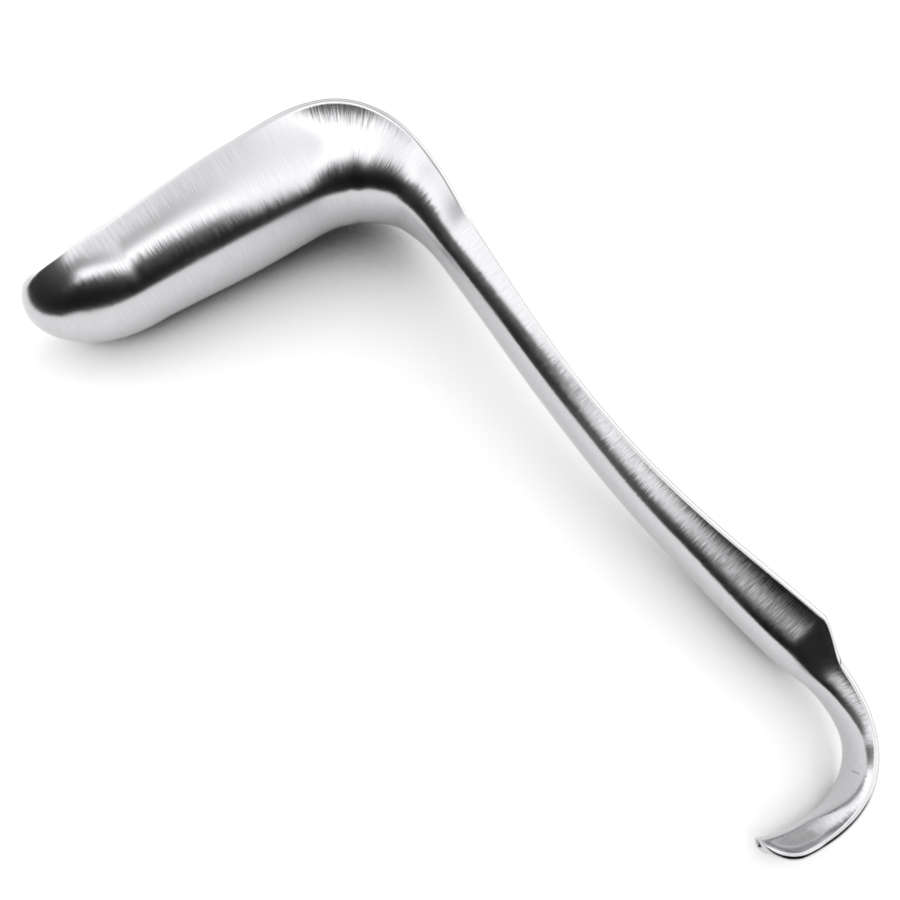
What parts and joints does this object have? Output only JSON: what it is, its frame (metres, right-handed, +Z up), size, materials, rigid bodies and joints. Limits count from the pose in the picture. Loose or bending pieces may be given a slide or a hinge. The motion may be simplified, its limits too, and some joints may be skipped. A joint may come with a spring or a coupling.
{
  "type": "handheld surgical retractor",
  "caption": "Steel retractor with a deep rounded blade bent square to a channelled handle that ends in a curled finger hook, for holding soft tissue aside by hand.",
  "frame": {"origin": "under the middle of the bounding box, on the surface the retractor lies on", "axes": "+X along the handle towards the hook, -Y from the handle towards the blade's tip, +Z up from the surface it lies on"},
  "size_m": [0.231, 0.1216, 0.0516],
  "materials": {
    "steel": "satin, fine brushing across the length"
  },
  "bodies": {
    "root": {"retractor": "steel"}
  },
  "joints": []
}
